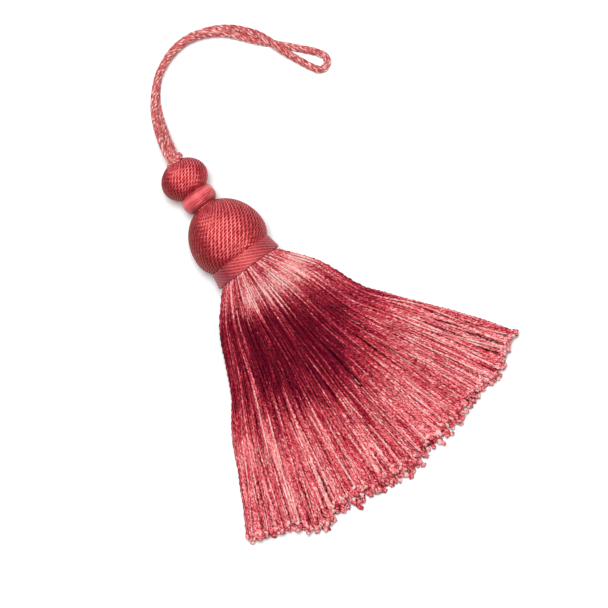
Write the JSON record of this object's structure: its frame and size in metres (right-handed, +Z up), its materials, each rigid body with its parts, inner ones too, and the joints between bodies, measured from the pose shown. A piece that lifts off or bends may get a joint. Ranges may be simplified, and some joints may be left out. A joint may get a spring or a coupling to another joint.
{
  "type": "key tassel",
  "caption": "Key tassel lying flat: two thread-covered balls with a ring between, a flared collar, a fanned cut-yarn skirt and a doubled twisted hanging cord.",
  "frame": {"origin": "centre of the tassel's footprint without its cord, on the surface it lies on", "axes": "+Y along the tassel from the skirt's hem to its cord, +Z up from the surface it lies on, +X across the skirt towards the cord's eye"},
  "size_m": [0.1052, 0.1461, 0.0236],
  "materials": {
    "cord_yarn": "twisted rayon",
    "knot_thread": "twisted rayon",
    "small_ball_cover": "silky covered",
    "ring_floss": "satin wound",
    "large_ball_cover": "silky covered",
    "collar_gimp": "diagonal wound",
    "skirt_yarn": "variegated twisted rayon"
  },
  "bodies": {
    "root": {"hanging_cord": "cord_yarn", "top_knot": "knot_thread", "ball_small": "small_ball_cover", "neck_ring": "ring_floss", "ball_large": "large_ball_cover", "collar": "collar_gimp", "skirt": "skirt_yarn"}
  },
  "joints": []
}
